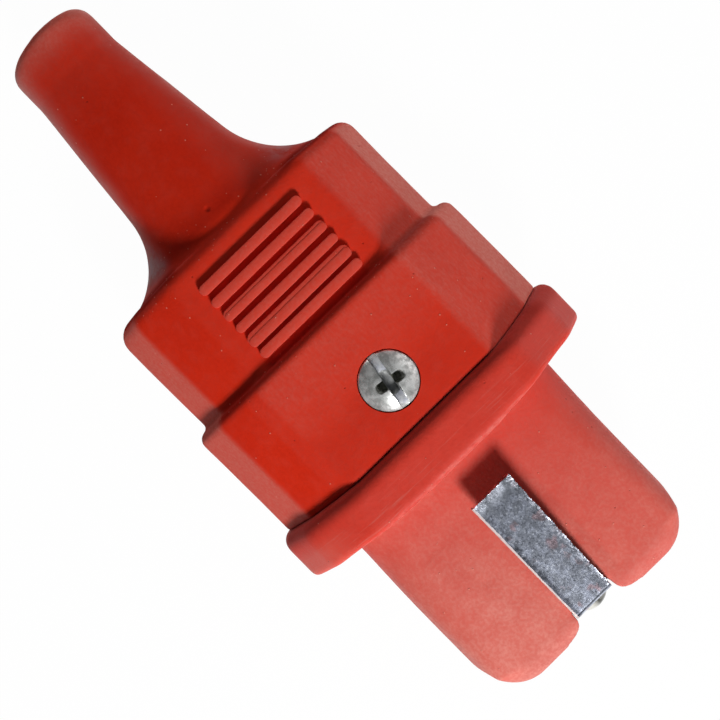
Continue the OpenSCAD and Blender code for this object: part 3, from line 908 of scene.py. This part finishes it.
def cover_hollow():
    """The room for the spigot, the wiring chamber behind it, and the screw's hole and recess."""
    room = bar_form(x_spigot - spigot_gap, x_flange + bite, spigot_w + 2 * spigot_gap,
                    spigot_h + 2 * spigot_gap)
    chamber = bar_form(x_grip + chamber_wall, x_spigot, chamber_w, chamber_h)
    shank = tube_form((x_screw, 0, 0), (0, 0, 1),
                      [(0, screw_hole_r), (screw_seat + 0.5 * bite, screw_hole_r)], 32)
    recess = tube_form((x_screw, screw_y, screw_seat), (0, 0, 1), [(0, recess_r), (4 * bite, recess_r)])
    return combine(room, [chamber, shank, recess], "UNION")


cover = block_form(x_front, x_flange, 0, block_round, front_corner)
grip = block_form(x_grip, x_front + 3 * bite, grip_step, grip_round, grip_corner)
combine(cover, [grip, boot_form()], "UNION")
cord_bore = tube_form((x_tip - 2 * bite, 0, 0), (1, 0, 0),
                      [(0, cord_bore_r), (x_grip + chamber_wall - x_tip + 3 * bite, cord_bore_r)])
combine(cover, [cord_bore], "DIFFERENCE")
soften(cover, skin_voxel)
bpy.ops.object.mode_set(mode="EDIT")
move_points(flange_sweep)
bpy.ops.object.mode_set(mode="OBJECT")
for face in (1, -1):
    for i, width in enumerate(rib_widths):
        x = first_rib - i * rib_pitch
        ledge = ledges.get(i, 0)
        ribs = [rib_form(x + ledge / 2, face, width - ledge, rib_h)]
        if ledge:
            ribs.append(rib_form(x, face, width, ledge_h))
        combine(cover, ribs, "UNION")
combine(cover, [cover_hollow()], "DIFFERENCE")


def boot_marks(place, x, y, height):
    """Painted sheen on the end, the low sides and the far side; a darker boot with painted shade by the
    grip; grey flare corners, the near one with painted shade.
    """
    on_boot = x.fade(x_grip, x_grip - 2 * mm)
    # Painted sheen and light on the boot's rounded end.
    end_sheen = x.fade(x_tip + 5.5 * mm, x_tip - 2 * mm) * (0.7 + place.noise(4 * mm, 2) * 0.6)
    collar = x.fade(x_tip + 14 * mm, x_tip + 6 * mm)
    # Painted sheen on the boot's far side.
    far_sheen = y.fade(2 * mm, 7 * mm)
    unevenness = place.noise(5 * mm, 3).fade(0.25, 0.65) * 0.7 + 0.45
    # Painted sheen on the boot's steep low sides, in patches.
    limb_sheen = on_boot * height.fade(5.6 * mm, 0.3 * mm) * unevenness
    flare = on_boot * x.fade(x_grip - 7 * mm, x_grip - 3 * mm)
    # Painted shade, with a grey and pale tint, in the near corner where the flare meets the grip.
    near_flare_shade = flare * y.fade(-8 * mm, -11.5 * mm) * unevenness
    far_flare = flare * y.fade(8 * mm, 11.5 * mm)
    # Painted shade on the boot near its root, softening the grip's shadow on the flare.
    root = x.fade(x_grip - 5.5 * mm, x_grip - 0.5 * mm)
    patchy = place.noise(1.6 * mm, 4, 0.65).fade(0.3, 0.62)
    rub_and_sheen = end_sheen * 0.5 + limb_sheen * 0.4 + near_flare_shade * 0.3 + on_boot * (collar * 0.03 + far_sheen * 0.07)
    dark = on_boot * (0.2 + root * 0.4) + near_flare_shade * 0.4
    ash_and_sheen = near_flare_shade * (0.32 + patchy * 0.42) + far_flare * patchy * 0.3 + limb_sheen * 0.22
    return rub_and_sheen, dark, ash_and_sheen


def block_marks(place, x, y, height):
    """Worn rib tops, painted sheen on the steep sides and far shoulders, dust and painted shade lines at
    the blocks' rear edges, a front top darker toward the flange.
    """
    on_ribs = x.band(x_grip, x_grip + 1 * mm, x_front - 0.4 * mm, x_front)
    rib_tops = on_ribs * height.fade(grip_top + 0.5 * rib_h, grip_top + 0.9 * rib_h)
    on_blocks = x.fade(x_grip + 0.3 * mm, x_grip + 1.5 * mm)
    on_grip = x.fade(x_front + 0.6 * mm, x_front - 0.6 * mm)
    hatch = place.stretch(3, 1, 1).noise(0.35 * mm, 3).fade(0.3, 0.7)
    # Painted sheen on the far shoulders.
    far_sheen = y.fade(11 * mm, 12.5 * mm) * (0.13 + hatch * 0.06)
    far = y.fade(-5 * mm, 5 * mm)
    knee = 8 * mm - on_grip * (1.3 * mm) - far * (0.7 * mm)
    # Painted sheen on the steep sides.
    band_sheen = (height - knee).fade(0, -1.1 * mm) * (0.32 + far * 0.11)
    flat = height.fade(grip_top - 0.6 * mm, grip_top)
    front_top = x.band(x_front, x_front + 1.5 * mm, x_front + 2 * mm, x_front + 13 * mm)
    front_top = front_top * height.fade(grip_top + rib_h, front_h / 2 - 0.2 * mm) * (0.07 + hatch * 0.05)
    rub_and_sheen = rib_tops * 0.13 + front_top + on_blocks * (far_sheen + band_sheen + flat * 0.03)
    rear_edge = x.band(x_grip - 4.5 * mm, x_grip - 1 * mm, x_grip + 1 * mm, x_grip + 2.4 * mm)
    step = x.band(x_front - 1 * mm, x_front, x_front + 0.8 * mm, x_front + 1.6 * mm)
    # Painted shade in the hollow at the grip's rear, most at its corners.
    crease_shade = x.band(x_grip - 0.8 * mm, x_grip - 0.2 * mm, x_grip + 0.3 * mm, x_grip + 0.8 * mm)
    crease_shade = crease_shade * (0.15 + abs(y).fade(8 * mm, 11 * mm) * 0.6)
    # Painted shade at the foot of the front block's rear face.
    step_shade = x.band(x_front - 0.9 * mm, x_front - 0.2 * mm, x_front + 0.2 * mm, x_front + 1.1 * mm)
    # The front block's top darker toward the flange.
    by_screw = x.fade(x_front + 7 * mm, x_flange - 3 * mm) * height.fade(grip_top + rib_h, front_h / 2)
    dark = crease_shade + step_shade * 0.6 + by_screw * 0.16
    return rub_and_sheen, rear_edge * 0.8 + step * 0.6, dark


def cover_marks(place):
    """The wear, painted sheen and painted shade of the boot and of the two blocks, and one small crater at
    the boot's root.
    """
    x = place.axis("X")
    y = place.axis("Y")
    height = abs(place.axis("Z"))
    boot_rub_and_sheen, boot_dark_and_shade, ash_and_sheen = boot_marks(place, x, y, height)
    block_rub_and_sheen, dusty, block_dark_and_shade = block_marks(place, x, y, height)
    crater = place.near((x_grip - 2.7 * mm, -0.9 * mm, 9.6 * mm), 0.55 * mm)
    return boot_rub_and_sheen + block_rub_and_sheen, dusty, boot_dark_and_shade + block_dark_and_shade, crater, ash_and_sheen


cover_finish = silicone("cover_silicone", tone(207, 41, 16), tone(199, 36, 13),
                        tone(222, 140, 126), cover_marks, 0.04, 0.5)
hand_in(cover, "cover_moulding", cover_finish, "cover_silicone", "rear_cover")


# Cover screw
# A nickel-plated pan-head screw with a slot and a cross recess, which goes through the cover and
# the spigot into the earth block. Its head is turned bright and worn by the screwdriver.
head_trim = 0.12 * mm
head_lift = 0.3 * mm
head_r = (screw_high.x - screw_low.x) / 2 - head_trim
head_top = screw_high.z + head_lift
head_edge = 0.15 * mm
rim_fall = 0.04 * mm
fine_edge = 0.05 * mm
head_steps = 14
shank_r = 2 * mm
shank_point = 0.6 * mm
dome_h = 1.3 * mm
dome_r = (head_r ** 2 + dome_h ** 2) / (2 * dome_h)
slot_w = 1.2 * mm
slot_depth = 1.35 * mm
slot_turn = math.radians(-8)
cross_len = 4.8 * mm
cross_half_w = 0.72 * mm
cross_off = 0.15 * mm
cross_depth = 2.6 * mm


def screw_rings():
    """Height and radius of each ring of the screw, from its tip to near the top of its head."""
    rim = head_top - dome_h
    rings = [(screw_low.z, 0.7 * shank_r), (screw_low.z + shank_point, shank_r), (screw_seat, shank_r)]
    rings += [(screw_seat + flush, head_r - head_edge), (screw_seat + head_edge, head_r)]
    rings += [(rim - rim_fall, head_r), (rim + rim_fall, head_r - fine_edge)]
    for i in range(head_steps):
        r = (head_r - head_edge) * (1 - i / (head_steps - 0.5))
        rings.append((head_top - dome_r + math.sqrt(dome_r ** 2 - r ** 2), r))
    return rings


def place_on_head(turn, off=0.0):
    """Turns the form in edit mode and moves it onto the screw's axis, or as far off it as that."""
    bpy.ops.mesh.select_all(action="SELECT")
    bpy.ops.transform.rotate(value=-turn, orient_axis="Z", center_override=(0, 0, 0))
    bpy.ops.transform.translate(value=(x_screw + off, screw_y, 0))
    return leave_edit()


def cross_arm(turn):
    """One tapered arm of the cross recess, with round ends."""
    box_form((-cross_len / 2, -cross_half_w, head_top - cross_depth),
             (cross_len / 2, cross_half_w, head_top + 0.2 * bite))
    round_edges(along("z"), 0.85 * cross_half_w, 5)
    pick_faces(lambda normal: normal.z < -0.9)
    bpy.ops.transform.resize(value=(0.5, 0.7, 1), center_override=(0, 0, head_top))
    return place_on_head(turn, cross_off)


def slot_form():
    """The straight slot across the whole head."""
    box_form((-2 * head_r, -slot_w / 2, head_top - slot_depth), (2 * head_r, slot_w / 2, head_top + bite))
    return place_on_head(slot_turn)


screw = tube_form((x_screw, screw_y, 0), (0, 0, 1), screw_rings(), 96)
combine(screw, [slot_form(), cross_arm(slot_turn), cross_arm(slot_turn + math.pi / 2)], "DIFFERENCE")
change(screw, "BEVEL", width=fine_edge, segments=2, limit_method="ANGLE", angle_limit=math.radians(40))


def worn_head():
    """Nickel plate worn by screwdrivers: smudged and scratched, a pale slot floor, darker inside the cross
    and below the slot's floor, a painted highlight in the slot.
    """
    material, shader, place = finish("worn_nickel", Metallic=0.55)
    x = place.axis("X") - x_screw
    y = place.axis("Y") - screw_y
    z = place.axis("Z")
    off_slot = abs(y * math.cos(slot_turn) - x * math.sin(slot_turn))
    depth = head_top - (x * x + y * y) * (0.5 / dome_r) - z
    in_cross = depth.fade(0.2 * mm, 0.6 * mm) * off_slot.fade(0.6 * mm, 0.68 * mm)
    below = z.fade(head_top - slot_depth - 0.05 * mm, head_top - slot_depth - 0.3 * mm)
    slot_floor = depth.fade(0.3 * mm, 0.6 * mm) * off_slot.fade(0.62 * mm, 0.55 * mm)
    smudge = place.noise(1.3 * mm, 4, 0.65).fade(0.36, 0.64)
    lines = place.stretch(8, 1, 1).noise(0.14 * mm, 3)
    fine = place.noise(0.2 * mm, 3)
    colour = (smudge * 0.7 + lines * 0.2).tint(tone(246, 247, 245), tone(130, 132, 129))
    colour = (slot_floor * (0.4 + smudge * 0.5)).tint(colour, tone(172, 175, 187))
    colour = (in_cross * 0.65 + below * 0.5).tint(colour, tone(112, 112, 100))
    # A painted highlight on the slot's floor beside the cross.
    slot_highlight = place.near((x_screw - 0.85 * mm, screw_y + 0.15 * mm, head_top - slot_depth), 0.75 * mm)
    colour = slot_highlight.tint(colour, tone(250, 250, 248))
    smear = y.fade(1 * mm, 3 * mm)
    rough = 0.14 + smudge * 0.14 + fine * 0.1 + slot_floor * 0.2 + smear * 0.3
    feed(shader, place, colour, rough, smudge + lines * 0.5 + fine * 0.4, 0.014 * mm)
    return material


hand_in(screw, "cover_screw_head", worn_head(), "plated_steel", "cover_screw")


# Table, lamps and camera
# The plug lies on a white table and is seen from straight above. A small soft lamp beyond its nose
# throws the shadows, and two wide, weaker ones beyond its far side and its tail fill them.
def white_table():
    """White paint that looks plain white and still takes the plug's shadow."""
    material = bpy.data.materials.new("white_table")
    material.use_nodes = True
    tree = material.node_tree
    board = Wire(tree)
    path = tree.nodes.new("ShaderNodeLightPath")
    rays = [Wire(tree, path.outputs[kind])
            for kind in ("Is Camera Ray", "Is Glossy Ray", "Is Transmission Ray")]
    seen = board.math("MAXIMUM", board.math("MAXIMUM", rays[0], rays[1]), rays[2])
    paint = board.add("ShaderNodeBsdfDiffuse", None, {"Color": (0.8, 0.8, 0.8, 1)})
    glow = board.add("ShaderNodeEmission", None, {"Strength": 1.0})
    mixed = board.add("ShaderNodeMixShader", None, {0: seen * 0.98, 1: paint, 2: glow})
    board.join(tree.nodes["Material Output"].inputs["Surface"], mixed)
    return material


bpy.ops.object.select_all(action="DESELECT")
bpy.ops.mesh.primitive_plane_add(size=4, location=(0, 0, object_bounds()[0].z))
table = bpy.context.object
table.name = "table"
table.data.materials.append(white_table())

world = bpy.data.worlds.new("studio")
world.use_nodes = True
room_light = world.node_tree.nodes["Background"]
room = Wire(world.node_tree).add("ShaderNodeTexCoord", output="Generated")
bright_side = room.axis("X").fade(-0.8, 0.8)
room.join(room_light.inputs["Color"], bright_side.tint((0.025, 0.026, 0.028, 1), (0.09, 0.094, 0.098, 1)))
bpy.context.scene.world = world


def soft_lamp(name, place, size, power):
    """A round lamp of that size at a place, turned to the plug."""
    lamp = bpy.data.lights.new(name, "AREA")
    lamp.shape = "DISK"
    lamp.size = size
    lamp.energy = power
    holder = bpy.data.objects.new(name, lamp)
    holder.location = place
    holder.rotation_euler = Vector(place).to_track_quat("Z", "Y").to_euler()
    bpy.context.scene.collection.objects.link(holder)


soft_lamp("nose_lamp", (0.222, -0.082, 0.2), 0.075, 1.03)
soft_lamp("far_lamp", (0.03, 0.38, 0.068), 0.22, 0.64)
soft_lamp("tail_lamp", (-0.48, 0.06, 0.13), 0.25, 0.45)

camera_place = Vector((x_mate, 0, 0)) + Vector((-26.42, -5.8, 206.3)) * mm
sight = Vector((0.0456, 0.0274, -0.9986)).normalized()
picture_up = Vector((-0.7152, 0.6988, -0.0135))
picture_right = sight.cross(picture_up).normalized()
picture_up = picture_right.cross(sight)
lens = bpy.data.cameras.new("camera")
lens.sensor_width = 36
lens.lens = 78.75
lens.clip_start = 10 * mm
camera = bpy.data.objects.new("camera", lens)
turned = Matrix((picture_right, picture_up, -sight)).transposed().to_4x4()
camera.matrix_world = Matrix.Translation(camera_place) @ turned
bpy.context.scene.collection.objects.link(camera)
bpy.context.scene.camera = camera
bpy.context.scene.view_settings.view_transform = "Standard"
